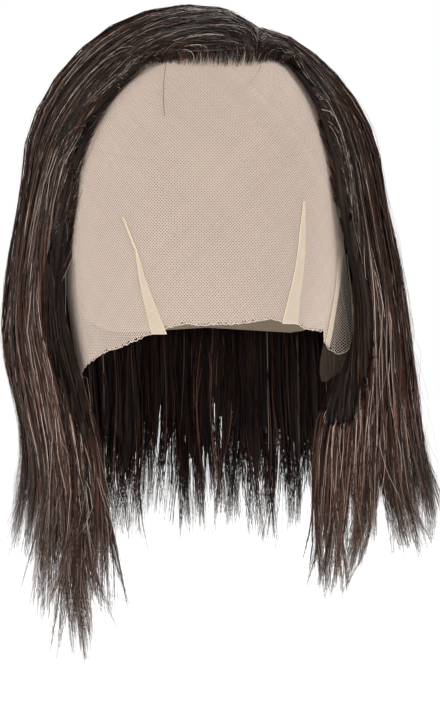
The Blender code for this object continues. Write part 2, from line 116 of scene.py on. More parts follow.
# Hair guides, as in the solids: the temple guides run along the hairline from part to tip
RIGHT_TEMPLE = (
    (28.0, -71.5, -31.0),
    (14.0, -78.0, -33.0),
    (-4.0, -79.5, -33.4),
    (-22.0, -74.0, -32.0),
    (-38.0, -65.0, -31.5),
    (-48.0, -62.0, -38.0),
    (-55.0, -60.5, -48.0),
    (-63.5, -60.0, -73.0),
    (-69.5, -53.0, -103.0),
    (-74.5, -43.0, -125.0),
    (-77.5, -33.0, -154.0),
    (-72.5, -33.0, -181.0),
    (-65.0, -36.0, -200.0),
    (-57.5, -38.0, -228.0),
    (-53.0, -38.0, -263.0),
    (-51.0, -36.0, -300.0),
    (-53.0, -33.0, -345.0),
)
LEFT_TEMPLE = (
    (28.0, -71.5, -31.0),
    (38.0, -62.0, -28.5),
    (48.0, -51.0, -29.0),
    (57.0, -51.0, -44.0),
    (61.5, -54.0, -56.0),
    (69.0, -51.0, -81.5),
    (73.0, -45.0, -102.0),
    (78.0, -32.0, -119.0),
    (86.0, -18.0, -146.0),
    (84.0, -14.0, -176.0),
    (70.0, -20.0, -200.0),
    (60.5, -30.0, -228.0),
    (57.5, -34.0, -263.0),
    (57.0, -34.0, -300.0),
    (56.0, -32.0, -345.0),
)
# The other guides: start x and y, azimuth and lift at the widest level, then x, y, z below
SWEPT_GUIDES = (
    (
        (28.0, -46.0, -61.0, 13.0),
        ((-88.0, -47.0, -130.0), (-91.0, -44.0, -165.0), (-84.0, -44.0, -205.0),
         (-76.0, -44.0, -250.0), (-74.0, -42.0, -300.0), (-68.0, -38.0, -356.0)),
    ),
    (
        (28.0, -18.0, -92.0, 20.0),
        ((-104.0, 2.0, -131.0), (-109.0, 2.0, -165.0), (-108.0, 2.0, -187.0),
         (-101.0, 2.0, -212.0), (-95.0, 0.0, -242.0), (-96.0, -2.0, -288.0),
         (-91.0, -4.0, -335.0)),
    ),
    (
        (28.0, 3.0, -132.0, 16.0),
        ((-79.0, 74.0, -130.0), (-80.0, 71.0, -165.0), (-77.0, 64.0, -210.0),
         (-74.0, 56.0, -265.0), (-68.0, 50.0, -335.0)),
    ),
    (
        (28.0, 14.0, -180.0, 14.0),
        ((0.0, 111.0, -130.0), (0.0, 107.0, -165.0), (0.0, 100.0, -210.0),
         (0.0, 93.0, -265.0), (0.0, 88.0, -335.0)),
    ),
    (
        (28.0, 3.0, -228.0, 16.0),
        ((80.0, 74.0, -130.0), (84.0, 71.0, -165.0), (86.0, 64.0, -210.0),
         (88.0, 56.0, -265.0), (86.0, 48.0, -325.0)),
    ),
    (
        (28.0, -18.0, -268.0, 19.0),
        ((103.5, 2.0, -125.0), (109.0, 2.0, -156.0), (113.5, 2.0, -188.0),
         (116.0, 0.0, -212.0), (119.0, -2.0, -245.0), (121.0, -4.0, -268.0),
         (119.0, -6.0, -310.0)),
    ),
    (
        (28.0, -46.0, -300.0, 12.5),
        ((85.0, -48.0, -125.0), (92.0, -40.0, -156.0), (93.0, -36.0, -190.0),
         (92.0, -36.0, -230.0), (90.0, -36.0, -275.0), (80.0, -32.0, -335.0)),
    ),
)
CROWN_LIFT = 6.0
PART_DIP = 3.2
GUIDE_ROWS = 61
LAST_GUIDE = 8

# Locks: width in guide steps, slit start, tip, outward and forward sway of the tip, ridge
LOCKS = np.array((
    (0.18, 0.78, 0.94, 0.0, 0.0, 1.6),
    (0.22, 0.76, 0.93, -3.0, 3.0, 2.6),
    (0.26, 0.74, 0.95, 3.0, 4.0, 2.2),
    (0.24, 0.78, 0.98, -2.0, 0.0, 2.8),
    (0.26, 0.72, 0.90, 5.0, 5.0, 2.4),
    (0.24, 0.76, 0.94, 8.0, 2.0, 2.8),
    (0.26, 0.78, 0.89, 6.0, 0.0, 2.2),
    (0.26, 0.70, 0.92, 3.0, -2.0, 3.0),
    (0.24, 0.72, 0.88, 14.0, 0.0, 2.4),
    (0.26, 0.74, 0.91, 5.0, 2.0, 2.8),
    (0.28, 0.72, 0.87, 12.0, -3.0, 2.6),
    (0.30, 0.78, 0.91, 2.0, 2.0, 2.6),
    (0.24, 0.76, 0.90, 2.0, 0.0, 2.4),
    (0.26, 0.78, 0.93, 0.0, 0.0, 2.8),
    (0.24, 0.74, 0.89, 4.0, 2.0, 2.4),
    (0.26, 0.78, 0.92, -2.0, 0.0, 3.0),
    (0.26, 0.76, 0.90, 3.0, -2.0, 2.6),
    (0.24, 0.79, 0.93, 0.0, 0.0, 2.8),
    (0.26, 0.75, 0.91, 3.0, 2.0, 2.4),
    (0.24, 0.78, 0.92, -1.0, 0.0, 2.6),
    (0.22, 0.78, 0.92, 2.0, 0.0, 2.4),
    (0.26, 0.76, 0.88, 8.0, 2.0, 2.8),
    (0.24, 0.78, 0.92, 2.0, 0.0, 2.4),
    (0.26, 0.74, 0.90, 12.0, -2.0, 2.8),
    (0.24, 0.76, 0.94, 6.0, 0.0, 2.6),
    (0.26, 0.72, 0.87, 12.0, -3.0, 3.0),
    (0.24, 0.76, 0.92, 14.0, 2.0, 2.4),
    (0.26, 0.72, 0.87, 24.0, 0.0, 2.8),
    (0.24, 0.78, 0.92, -4.0, 2.0, 2.4),
    (0.26, 0.76, 0.88, 4.0, 3.0, 2.6),
    (0.26, 0.78, 0.93, -2.0, 0.0, 2.4),
    (0.26, 0.80, 0.91, 0.0, 0.0, 1.6),
))

# Hair amounts and sizes
CLUMPS = 520
OUTER_STRANDS = 12600
OUTER_STEPS = 20
INNER_STRANDS = 3000
BACK_STRANDS = 1500
INNER_STEPS = 12
ROOT_STRANDS = 5600
ROOT_STEPS = 14
LOOSE_STRANDS = 900
LOOSE_STEPS = 24
STRAND_WIDTH = 0.34
PIECE_STRANDS = 5000
# Strands with a red above the first value are silver, and thinner by the second: grey hairs,
# brighter and more common than the grey alone, as painted highlights
SILVER_HIGHLIGHT_FROM = 0.22
SILVER_HIGHLIGHT_WIDTH = 0.66
# Clump tips past the lock's tip, and how far they fall short of it, as shares of length
TIP_REACH = 0.012
TIP_SPREAD = 0.12
# Depths off the hair surface, least and most
OUTER_DEPTH = (-1.8, 1.3)
INNER_DEPTH = 9.5
LOOSE_DEPTH = 2.2
# Share of the root strands on the wearer's right
ROOT_RIGHT_SHARE = 0.66

# Under layer: rows, columns to a guide step, depth below the surface, more at the hairline
SHELL_ROWS = 52
SHELL_COLUMNS = 30
SHELL_DROP = 1.8
SHELL_EDGE_DROP = 1.4

# Hair colours: share of strands, red, green, blue
HAIR_TONES = np.array((
    (0.52, 0.010, 0.0052, 0.0040),
    (0.24, 0.034, 0.0150, 0.0100),
    (0.13, 0.110, 0.0500, 0.0320),
    (0.11, 0.520, 0.4300, 0.3700),
))
# Row of the silver strands: grey hair, with its share and brightness raised as painted highlights.
SILVER_AND_HIGHLIGHT = 3

# Single hairs that lie on the lace: azimuth and level of start, middle and end, tone
STRAY_HAIRS = (
    (-17.5, -34.0, -16.5, -52.0, -14.5, -66.0, 0.05),
    (28.0, -36.0, 23.0, -46.0, 13.0, -53.0, 0.06),
    (31.0, -38.0, 32.5, -56.0, 33.5, -76.0, 0.55),
    (-54.0, -58.0, -52.0, -72.0, -52.5, -88.0, 0.08),
)
STRAY_STEPS = 24
STRAY_WIDTH = 0.24
STRAY_LIFT = 1.3
STRAY_TINT = (1.0, 0.86, 0.74)

# Net: pitch and width of the threads
NET_PITCH = 1.15
NET_THREAD = 0.50
NET_STEP = 4.0
FOLD_PITCH = 0.80
FOLD_STEP = 0.45
LACE_LIFT = 0.5
LACE_TONE = (0.672, 0.557, 0.485)
FOLD_TONE = (0.73, 0.635, 0.52)
EDGE_TONE = (0.82, 0.66, 0.46)
# Folded layers: level, azimuth of one side, azimuth of the other
RIGHT_DART = (
    (-131.0, -25.6, -25.3),
    (-145.0, -24.4, -22.3),
    (-159.0, -22.6, -18.6),
    (-174.0, -20.4, -14.4),
)
RIGHT_DART_TIP = (
    (-115.0, -31.0, -30.5),
    (-131.0, -26.0, -25.4),
)
LEFT_DART = (
    (-106.0, 40.6, 41.0),
    (-122.0, 38.8, 41.6),
    (-138.0, 37.6, 41.4),
    (-156.0, 34.8, 40.2),
    (-168.5, 33.0, 41.0),
)
# Sides of the folded margins, as azimuths at the cut edge
RIGHT_MARGIN = (-84.0, -82.2)
LEFT_STRIP = (64.6, 68.2)
MARGIN_TOP = -122.0
# Edge threads of the margins: azimuth at the cut edge, share of the way up to the dart tips
MARGIN_EDGES = (
    (-83.8, 0.95),
    (-83.2, 0.95),
    (64.7, 0.98),
    (68.1, 0.98),
    (77.6, 0.8),
    (77.2, 0.8),
)
# Reach of the net: side azimuth, and lengths down from the crown
LACE_SIDE = 85
LACE_DOWN = (40.0, 270.0)
LACE_FINE = 0.7
FOLD_FINE = 0.3
FOLD_THREAD_STEP = 3.0
# Other threads of the lace: widths, and lifts off the net
FOLD_THREAD = 0.42
EDGE_THREAD = 0.5
EDGE_LIFT = 0.9
CUT_LIFT = 0.1

# Ear tab: azimuth, top, cut level, lift off the head
EAR_TAB = np.array((
    (64.0, -177.0, -189.0, 0.4),
    (65.0, -179.0, -194.0, 0.6),
    (68.0, -180.0, -199.0, 1.4),
    (70.5, -181.7, -198.5, 3.5),
    (72.5, -184.0, -196.0, 6.0),
    (75.5, -182.0, -192.0, 10.5),
    (78.0, -178.0, -186.0, 14.0),
))
# Ear tab threads: the beige lace painted dark brown as painted shade, since the tab lies in shadow.
EAR_PAINTED_SHADE_TONE = (0.060, 0.042, 0.030)
EAR_PITCH = 0.85
EAR_THREAD = 0.34

# Camera
CAMERA_X = 8.5
CAMERA_LEVEL = -184.0
CAMERA_BACK = 750.0
CAMERA_LENS = 67.4
SENSOR = 36.0

# Light
# name, place, size, watts
LIGHTS = (
    ("key", (0.5, -1.3, 0.75), 0.6, 11.0),
    ("fill", (-0.9, -1.0, 0.2), 0.7, 4.5),
    ("rim", (0.2, 0.9, 0.9), 0.8, 10.0),
)
WORLD_LIGHT = 0.32
FLOOR_GLOW = 0.78
FLOOR_LEVEL = -0.42
FLOOR_SIZE = 6.0
LIGHT_AIM = (0.0, 0.0, -0.15)


def head_sizes(z):
    """Half width, front depth and back depth of the head form at a level."""
    z = np.minimum(z, -CROWN_HEIGHT)
    return [np.interp(z, HEAD_LEVELS[:, 0], HEAD_LEVELS[:, i]) for i in (1, 2, 3)]


def head_point(azimuth, z, lift):
    """Points on the head form, lifted off along the normal. Arrays of one shape."""
    turn = np.radians(azimuth)
    wide, front, back = head_sizes(z)
    rise = np.maximum(0.0, z + CROWN_HEIGHT)
    ring = np.sqrt(np.maximum(0.0, 1.0 - (rise / CROWN_HEIGHT) ** 2))
    depth = np.where(np.cos(turn) >= 0, front, back)
    x = wide * ring * np.sin(turn)
    y = -depth * ring * np.cos(turn)
    normal = np.stack([x / wide**2, y / depth**2, rise / CROWN_HEIGHT**2], axis=-1)
    normal /= np.linalg.norm(normal, axis=-1, keepdims=True)
    return np.stack([x, y, z + 0 * x], axis=-1) + normal * np.asarray(lift)[..., None]


def onto_head(point, lift):
    """Points moved straight out from the head's middle until they lie on it, at a lift."""
    wide, front, back = head_sizes(point[..., 2])
    depth = np.where(point[..., 1] < 0, front, back) + lift
    rise = np.maximum(0.0, point[..., 2] + CROWN_HEIGHT)
    across = (point[..., 0] / (wide + lift)) ** 2 + (point[..., 1] / depth) ** 2
    reach = np.sqrt(across + (rise / (CROWN_HEIGHT + lift)) ** 2)[..., None]
    moved = point / np.maximum(reach, 0.2)
    moved[..., 2] = np.where(rise > 0, rise / reach[..., 0] - CROWN_HEIGHT, point[..., 2])
    return moved


def measure_of(z):
    """Angle down from the crown, carried on as a length below the widest level."""
    above = np.arccos(np.clip((z + CROWN_HEIGHT) / CROWN_HEIGHT, -1, 1))
    return np.where(z > -CROWN_HEIGHT, above, math.pi / 2 + (-CROWN_HEIGHT - z) / CROWN_HEIGHT)


def level_of(measure):
    """Level of a measure, the other way round."""
    above = -CROWN_HEIGHT + CROWN_HEIGHT * np.cos(measure)
    below = -CROWN_HEIGHT - (measure - math.pi / 2) * CROWN_HEIGHT
    return np.where(measure < math.pi / 2, above, below)


def catmull(a, b, c, d, t):
    """Smooth curve from b to c, with a and d as the points on either side."""
    return 0.5 * (
        2 * b + (c - a) * t + (2 * a - 5 * b + 4 * c - d) * t**2
        + (3 * b - a - 3 * c + d) * t**3
    )


def spline(points, shares):
    """Points on a curve through a table, at shares of its knots."""
    points = np.asarray(points, dtype=float)
    last = len(points) - 1
    ends = np.vstack([2 * points[0] - points[1], points, 2 * points[-1] - points[-2]])
    knot = np.clip(shares, 0, 1) * last
    cell = np.minimum(knot.astype(int), last - 1)
    t = (knot - cell)[:, None]
    return catmull(ends[cell], ends[cell + 1], ends[cell + 2], ends[cell + 3], t)


def even_rows(points, rows):
    """The same curve with its rows at equal steps of length."""
    fine = spline(points, np.linspace(0, 1, 400))
    run = np.concatenate([[0], np.cumsum(np.linalg.norm(np.diff(fine, axis=0), axis=1))])
    wanted = np.linspace(0, run[-1], rows)
    return np.stack([np.interp(wanted, run, fine[:, i]) for i in range(3)], axis=1)


def swept_guide(start, below):
    """From the part over the crown on a great circle, then down the table."""
    root_x, root_y, azimuth, lift = start
    turn = math.radians(azimuth)
    first = np.array([root_x / HEAD_HALF_WIDTH, root_y / HEAD_HALF_DEPTH, 0.0])
    first[2] = math.sqrt(1.0 - first[0] ** 2 - first[1] ** 2)
    last = np.array([math.sin(turn), -math.cos(turn), 0.0])
    swing = math.acos(float(first @ last))
    points = []
    for t in np.linspace(0, 1, 9):
        unit = (math.sin((1 - t) * swing) * first + math.sin(t * swing) * last) / math.sin(swing)
        up = CROWN_LIFT - PART_DIP * max(0.0, 1 - t * swing / 0.16)
        up += (lift - CROWN_LIFT) * t * t * (3 - 2 * t)
        size = np.array([HEAD_HALF_WIDTH, HEAD_HALF_DEPTH, CROWN_HEIGHT]) + up
        points.append(unit * size - np.array([0, 0, CROWN_HEIGHT]))
    points.extend(np.array(row) for row in below)
    return np.array(points)


def hair_guides():
    guides = [even_rows(RIGHT_TEMPLE, GUIDE_ROWS)]
    guides += [even_rows(swept_guide(*guide), GUIDE_ROWS) for guide in SWEPT_GUIDES]
    guides.append(even_rows(LEFT_TEMPLE, GUIDE_ROWS))
    return np.array(guides)


GUIDES = hair_guides()
PADDED = np.concatenate([2 * GUIDES[:1] - GUIDES[1:2], GUIDES, 2 * GUIDES[-1:] - GUIDES[-2:-1]])


def hair_surface(u, v):
    """Points of the hair surface at guide position u and length share v."""
    row = np.maximum(v, 0) * (GUIDE_ROWS - 1)
    low = np.minimum(row.astype(int), GUIDE_ROWS - 2)
    part = (row - low)[..., None]
    inside = np.clip(u, 0, LAST_GUIDE)
    cell = np.minimum(inside.astype(int), LAST_GUIDE - 1)
    t = (inside - cell)[..., None]
    near = [PADDED[cell + i, low] * (1 - part) + PADDED[cell + i, low + 1] * part for i in range(4)]
    point = catmull(*near, t)
    beyond = (u - inside)[..., None]
    slope = np.where(beyond < 0, near[2] - near[0], near[3] - near[1]) / 2
    return point + slope * beyond


def hair_axes(u, v):
    """Unit vectors of the hair surface: across the strands and outward."""
    across = hair_surface(u + 0.03, v) - hair_surface(u - 0.03, v)
    ahead = np.maximum(v - 0.02, 0)
    along = hair_surface(u, ahead + 0.04) - hair_surface(u, ahead)
    outward = np.cross(along, across)
    outward /= np.maximum(np.linalg.norm(outward, axis=-1, keepdims=True), 1e-9)
    here = hair_surface(u, v)
    here[..., 2] -= np.minimum(here[..., 2], -60.0)
    flip = np.sign((outward * here).sum(-1, keepdims=True))
    outward = outward * np.where(flip == 0, 1, flip)
    across = np.cross(outward, along)
    across /= np.maximum(np.linalg.norm(across, axis=-1, keepdims=True), 1e-9)
    return across, outward


LOCK_BOUNDS = np.concatenate([[0], np.cumsum(LOCKS[:, 0])])
LOCK_BOUNDS = LOCK_BOUNDS / LOCK_BOUNDS[-1] * LAST_GUIDE
LOCK_CENTRES = (LOCK_BOUNDS[1:] + LOCK_BOUNDS[:-1]) / 2


def lock_of(u):
    """Number of the lock at a guide position."""
    return np.clip(np.searchsorted(LOCK_BOUNDS, u) - 1, 0, len(LOCKS) - 1)


def ridge_at(u, v):
    """Height of the lock ridges over the hair surface."""
    lock = lock_of(u)
    half = (LOCK_BOUNDS[lock + 1] - LOCK_BOUNDS[lock]) / 2
    share = np.clip(1 - np.abs(u - LOCK_CENTRES[lock]) / half, 0, 1)
    return LOCKS[lock, 5] * np.sin(share * math.pi / 2) * (0.25 + 0.75 * np.clip(v * 3, 0, 1))


def mesh_piece(name, points, faces, material, tones=None, smooth=True):
    """Mesh object from arrays: points in millimetres, faces all with as many corners."""
    mesh = bpy.data.meshes.new(name)
    corners = faces.shape[1]
    mesh.vertices.add(len(points))
    mesh.vertices.foreach_set("co", (points * MM).astype(np.float32).ravel())
    mesh.loops.add(faces.size)
    mesh.loops.foreach_set("vertex_index", faces.astype(np.int32).ravel())
    mesh.polygons.add(len(faces))
    mesh.polygons.foreach_set("loop_start", np.arange(0, faces.size, corners, dtype=np.int32))
    mesh.polygons.foreach_set("loop_total", np.full(len(faces), corners, dtype=np.int32))
    mesh.polygons.foreach_set("use_smooth", np.full(len(faces), smooth))
    mesh.update(calc_edges=True)
    mesh.validate()
    if tones is not None:
        layer = mesh.color_attributes.new(name="tone", type="FLOAT_COLOR", domain="POINT")
        rgba = np.ones((len(points), 4), dtype=np.float32)
        rgba[:, :3] = tones
        layer.data.foreach_set("color", rgba.ravel())
    mesh.materials.append(material)
    item = bpy.data.objects.new(name, mesh)
    bpy.context.scene.collection.objects.link(item)
    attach(item, "root")
    return item


def ribbons(points, widths, roll, outward):
    """Flat strips along the rows of points, turned by roll about each strand."""
    count, steps, _ = points.shape
    along = np.gradient(points, axis=1)
    along /= np.maximum(np.linalg.norm(along, axis=-1, keepdims=True), 1e-9)
    side = np.cross(along, outward)
    side /= np.maximum(np.linalg.norm(side, axis=-1, keepdims=True), 1e-9)
    up = np.cross(side, along)
    turn = roll[:, None, None]
    half = (side * np.cos(turn) + up * np.sin(turn)) * widths[..., None] / 2
    verts = np.stack([points - half, points + half], axis=2).reshape(-1, 3)
    start = (np.arange(count)[:, None] * steps + np.arange(steps - 1)[None, :]).ravel() * 2
    faces = np.stack([start, start + 1, start + 3, start + 2], axis=1)
    return verts, faces


def prisms(points, widths, up):
    """Closed three-sided threads along the rows of points."""
    count, steps, _ = points.shape
    along = np.gradient(points, axis=1)
    along /= np.maximum(np.linalg.norm(along, axis=-1, keepdims=True), 1e-9)
    side = np.cross(along, up)
    side /= np.maximum(np.linalg.norm(side, axis=-1, keepdims=True), 1e-9)
    top = np.cross(side, along)
    w = widths[..., None] / 2
    low = points - top * w * 0.4
    ring = [low - side * w, low + side * w, points + top * w * 0.8]
    verts = np.stack(ring, axis=2).reshape(-1, 3)
    start = (np.arange(count)[:, None] * steps + np.arange(steps - 1)[None, :]).ravel() * 3
    sides = []
    for i in range(3):
        j = (i + 1) % 3
        sides.append(np.stack([start + i, start + j, start + 3 + j], axis=1))
        sides.append(np.stack([start + i, start + 3 + j, start + 3 + i], axis=1))
    first = np.arange(count) * steps * 3
    last = first + (steps - 1) * 3
    caps = [np.stack([first, first + 2, first + 1], axis=1),
            np.stack([last, last + 1, last + 2], axis=1)]
    return verts, np.concatenate(sides + caps)


def clump_table():
    """Random features that the strands of one clump share."""
    centres = (np.arange(CLUMPS) + RANDOM.uniform(0.2, 0.8, CLUMPS)) / CLUMPS * LAST_GUIDE
    lock = lock_of(centres)
    flick = (RANDOM.random(CLUMPS) < 0.3) * np.minimum(RANDOM.exponential(9.0, CLUMPS), 22.0)
    flick *= np.where(centres > 5.0, 0.3, 1.0)
    return {
        "centre": centres,
        "tip": LOCKS[lock, 2] + TIP_REACH - RANDOM.beta(1.1, 2.2, CLUMPS) * TIP_SPREAD,
        "wave": RANDOM.uniform(0.8, 4.2, CLUMPS),
        "phase": RANDOM.uniform(0, 2 * math.pi, (CLUMPS, 2)),
        "turns": RANDOM.uniform(1.4, 3.6, CLUMPS),
        "lift": RANDOM.uniform(-2.4, 1.7, CLUMPS),
        "out": LOCKS[lock, 3] + RANDOM.normal(0, 4.0, CLUMPS) + flick,
        "fore": LOCKS[lock, 4] + RANDOM.normal(0, 5.0, CLUMPS),
        "side": RANDOM.normal(0, 6.0, CLUMPS),
        "slit": LOCKS[lock, 1],
        "tone": np.clip(RANDOM.lognormal(-0.05, 0.42, CLUMPS), 0.4, 2.2),
    }


CLUMP = clump_table()


def clump_of(u):
    """Number of the clump at a guide position."""
    return np.clip((u / LAST_GUIDE * CLUMPS).astype(int), 0, CLUMPS - 1)


def strand_tones(u, steps, silver_highlight=1.0, painted_backlight=0.0):
    """Colour of each point of each strand, a little lighter towards the tips, with a warm brown
    added as painted backlight where asked.
    """
    count = len(u)
    share = HAIR_TONES[:, 0].copy()
    share[SILVER_AND_HIGHLIGHT] *= silver_highlight
    pick = RANDOM.choice(len(HAIR_TONES), size=count, p=share / share.sum())
    own = RANDOM.uniform(0.55, 1.55, (count, 1))
    shade = np.where(pick == SILVER_AND_HIGHLIGHT, 1.0, CLUMP["tone"][clump_of(u)])
    base = HAIR_TONES[pick, 1:] * own * shade[:, None]
    # Painted backlight: warm brown added to the strands' colour, by the amount given.
    base = base + np.asarray(painted_backlight)[..., None] * np.array([0.050, 0.021, 0.012])
    t = np.linspace(0, 1, steps)[None, :, None]
    return base[:, None, :] * (0.85 + 0.45 * t**2)


def strand_paths(u, start, steps, depth, spread=1.0, frizz=0.5):
    """Points and outward directions of strands that follow the hair surface."""
    count = len(u)
    clump = clump_of(u)
    t = np.linspace(0, 1, steps)[None, :]
    tip = CLUMP["tip"][clump] - np.abs(RANDOM.normal(0, 0.022, count))
    v = start[:, None] + (tip - start)[:, None] * t
    free = np.clip((v - CLUMP["slit"][clump][:, None] + 0.06) / 0.24, 0, 1.2)
    centre = CLUMP["centre"][clump]
    lock_centre = LOCK_CENTRES[lock_of(centre)]
    gather = 0.8 * np.clip(t * 1.2, 0, 1) ** 1.5 * (1 - 0.5 * np.clip((t - 0.72) / 0.28, 0, 1) ** 2)
    place = u[:, None] + (centre - u)[:, None] * gather * spread
    place = place + (lock_centre - centre)[:, None] * 0.32 * np.clip(free, 0, 1) ** 1.3 * spread
    across, outward = hair_axes(place, v)
    phase = CLUMP["phase"][clump]
    turns = CLUMP["turns"][clump][:, None]
    wave = CLUMP["wave"][clump][:, None] * np.clip(v * 1.4 - 0.3, 0, 1.1)
    sway = wave * np.sin(2 * math.pi * turns * v + phase[:, :1])
    bob = 0.5 * wave * np.sin(2 * math.pi * turns * 1.3 * v + phase[:, 1:])
    own = RANDOM.uniform(0, 2 * math.pi, (count, 2))
    own_turns = RANDOM.uniform(1.5, 6.0, (count, 1))
    size = frizz * RANDOM.gamma(1.2, 0.8, (count, 1)) * (0.25 + v + 1.6 * free**2)
    sway = sway + size * np.sin(2 * math.pi * own_turns * v + own[:, :1])
    bob = bob + size * 0.6 * np.sin(2 * math.pi * own_turns * v + own[:, 1:])
    edge = np.clip(np.minimum(place, LAST_GUIDE - place) / 0.7, 0, 1)
    sway = sway * (1 - (0.8 - 0.8 * edge) * (1 - np.clip(free, 0, 1)))
    sway = sway + CLUMP["side"][clump][:, None] * free**2
    rise = CLUMP["lift"][clump][:, None] * np.clip(v * 3, 0, 1)
    lift = ridge_at(place, v) + depth[:, None] + rise
    point = hair_surface(place, v) + outward * (lift + bob)[..., None] + across * sway[..., None]
    flat = point * np.array([1, 1, 0])
    flat /= np.maximum(np.linalg.norm(flat, axis=-1, keepdims=True), 1e-9)
    bend = (free**2)[..., None]
    point = point + flat * CLUMP["out"][clump][:, None, None] * bend
    point[..., 1] -= CLUMP["fore"][clump][:, None] * bend[..., 0]
    return point, outward


def taper(count, steps, width):
    """Widths along each strand, thin at the root and the tip."""
    t = np.linspace(0, 1, steps)[None, :]
    size = width * RANDOM.uniform(0.65, 1.3, (count, 1))
    return size * np.clip((1 - t) * 4, 0.22, 1) * np.clip(0.5 + t * 12, 0, 1)


HAIR_NODES = ("hair_right", "hair_back", "hair_left")
HAIR_ENDS = (0.0, 3.0, 5.0, 8.0)


def hair_side(u):
    """Number of the solid that a hair place stands for."""
    return np.where(u < HAIR_ENDS[1], 0, np.where(u < HAIR_ENDS[2], 1, 2))


def add_strands(name, points, outward, widths, tones, side, material):
    """One piece for each solid that the strands cover, and more where there are many."""
    roll = RANDOM.uniform(-1.0, 1.0, len(points))
    widths = widths * np.where(tones[:, :1, 0] > SILVER_HIGHLIGHT_FROM, SILVER_HIGHLIGHT_WIDTH, 1.0)
    for number, node in enumerate(HAIR_NODES):
        chosen = np.flatnonzero(side == number)
        parts = max(1, -(-len(chosen) // PIECE_STRANDS))
        for part in range(parts):
            rows = chosen[part::parts]
            if len(rows) == 0:
                continue
            verts, faces = ribbons(points[rows], widths[rows], roll[rows], outward[rows])
            colours = np.repeat(tones[rows].reshape(-1, 3), 2, axis=0)
            item = mesh_piece(f"{name}_{node}_{part + 1}", verts, faces, material, colours)


def outer_hair(material):
    """Long strands from the part, or from the temples close to the hairline."""
    count = OUTER_STRANDS
    u = RANDOM.uniform(0.0, LAST_GUIDE, count)
    edge = np.where(RANDOM.random(count) < 0.55, RANDOM.uniform(0, 2.4, count),
                    LAST_GUIDE - RANDOM.uniform(0, 2.4, count))
    u = np.where(RANDOM.random(count) < 0.36, edge, u)
    from_edge = np.minimum(u, LAST_GUIDE - u)
    depth = RANDOM.uniform(*OUTER_DEPTH, count)
    start = RANDOM.uniform(0.0, 0.012, count)
    temple = (from_edge < 1.1) & (RANDOM.random(count) > from_edge * 2.0 - 1.0)
    low = np.where(u < 4, 0.46, 0.30)
    start = np.where(temple, 0.17 + (low - 0.17) * RANDOM.random(count), start)
    points, outward = strand_paths(u, start, OUTER_STEPS, depth, frizz=0.8)
    root = np.clip(np.linspace(0, 1, OUTER_STEPS) * 7, 0, 1)[None, :, None]
    root = np.where(temple[:, None, None], root, 1.0)
    points = onto_head(points, 1.4) * (1 - root) + points * root
    widths = taper(count, OUTER_STEPS, STRAND_WIDTH)
    # Strands that stand out over the hair surface get painted backlight, more the further out they
    # lie.
    painted_backlight = np.clip(depth - 0.5, 0, 1)
    tones = strand_tones(u, OUTER_STEPS, painted_backlight=painted_backlight)
    add_strands("strands", points, outward, widths, tones, hair_side(u), material)


def inner_hair(material):
    """Strands on the inside of the wall and through its thickness, seen below the cap, darkened as
    painted shade.
    """
    count = INNER_STRANDS + BACK_STRANDS
    u = RANDOM.uniform(0.0, LAST_GUIDE, count)
    u[:BACK_STRANDS] = RANDOM.uniform(2.5, 5.5, BACK_STRANDS)
    thick = np.clip(np.minimum(u, LAST_GUIDE - u) / 0.6, 0.06, 1)
    depth = -RANDOM.uniform(0.0, INNER_DEPTH, count) * thick
    start = RANDOM.uniform(0.42, 0.5, count)
    points, outward = strand_paths(u, start, INNER_STEPS, depth, frizz=0.9)
    widths = taper(count, INNER_STEPS, STRAND_WIDTH * 1.3)
    # Painted shade: inner strands at three quarters of their colour, with few silver strands.
    tones = strand_tones(u, INNER_STEPS, silver_highlight=0.12) * 0.75
    add_strands("inner", points, outward, widths, tones, hair_side(u), material)


def root_hair(material):
    """Strands tied into the lace along the hairline: up first, then into the sweep."""
    count = ROOT_STRANDS
    right = RANDOM.random(count) < ROOT_RIGHT_SHARE
    start = np.where(right, RANDOM.uniform(0.0, 0.40, count), RANDOM.uniform(0.0, 0.27, count))
    front = np.clip((0.24 - start) / 0.06, 0, 1)
    root = -0.06 - 0.20 * front + (0.90 + 0.20 * front) * RANDOM.beta(1.35, 1.8, count)
    root = np.where(right, root, root * 0.75)
    reach = root + 0.08 + 0.22 * front + np.where(right, 0.7, 0.5) * RANDOM.beta(1.3, 1.6, count)
    run = RANDOM.uniform(0.16, 0.40, count)
    t = np.linspace(0, 1, ROOT_STEPS)[None, :]
    rise = 1 - (1 - np.clip(t * 1.8, 0, 1)) ** 2.0
    u = root[:, None] + (reach - root)[:, None] * rise
    u = np.where(right[:, None], u, LAST_GUIDE - u)
    v = start[:, None] + run[:, None] * t ** (2.0 + 0.6 * front[:, None])
    across, outward = hair_axes(u, v)
    lift = RANDOM.uniform(0.4, 3.2, count)[:, None] + ridge_at(u, v) * rise * np.clip(1 - t, 0.4, 1)
    lift = lift + 0.9 * front[:, None] * (1 - t)
    wave = RANDOM.normal(0, 0.6, (count, 1)) * np.sin(t * 7 + RANDOM.uniform(0, 6, (count, 1)))
    over = hair_surface(u, v) + outward * lift[..., None] + across * wave[..., None]
    grow = (1 - (1 - np.clip(t * 2.4, 0, 1)) ** 2)[..., None]
    points = onto_head(over, 1.5) * (1 - grow) + over * grow
    widths = taper(count, ROOT_STEPS, STRAND_WIDTH * 0.85)
    tones = strand_tones(np.clip(u[:, -1], 0, LAST_GUIDE), ROOT_STEPS, silver_highlight=1.1) * 0.8
    add_strands("roots", points, outward, widths, tones, np.where(right, 0, 2), material)


